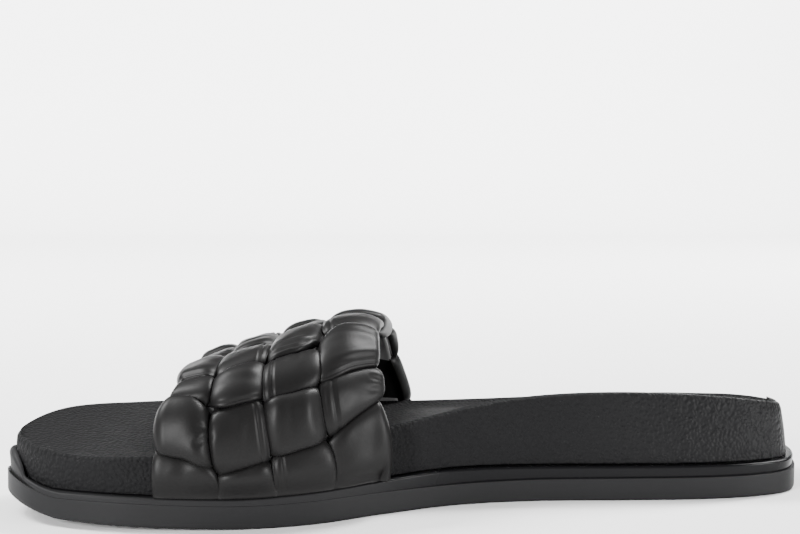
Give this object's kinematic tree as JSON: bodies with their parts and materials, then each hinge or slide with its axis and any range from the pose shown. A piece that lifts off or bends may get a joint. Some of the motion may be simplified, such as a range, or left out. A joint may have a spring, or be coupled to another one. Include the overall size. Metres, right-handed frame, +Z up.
{
  "type": "slide sandal",
  "caption": "Right-foot slide sandal with a puffy woven upper band, a wrapped contoured footbed, a welt and a thin rubber outsole.",
  "frame": {"origin": "on the floor under the middle of the shoe's bounding box", "axes": "-X towards the toe, +X towards the heel, -Y the inner (medial) side of the right foot, +Z up"},
  "size_m": [0.26, 0.0968, 0.0586],
  "materials": {
    "outsole_rubber": "satin black rubber",
    "welt_gloss": "smooth glossy black",
    "footbed_cover": "black pebbled faux leather over a soft foam core",
    "upper_leather": "smooth soft black faux leather, padded"
  },
  "bodies": {
    "root": {"outsole": "outsole_rubber", "welt": "welt_gloss", "footbed": "footbed_cover", "upper": "upper_leather"}
  },
  "joints": []
}
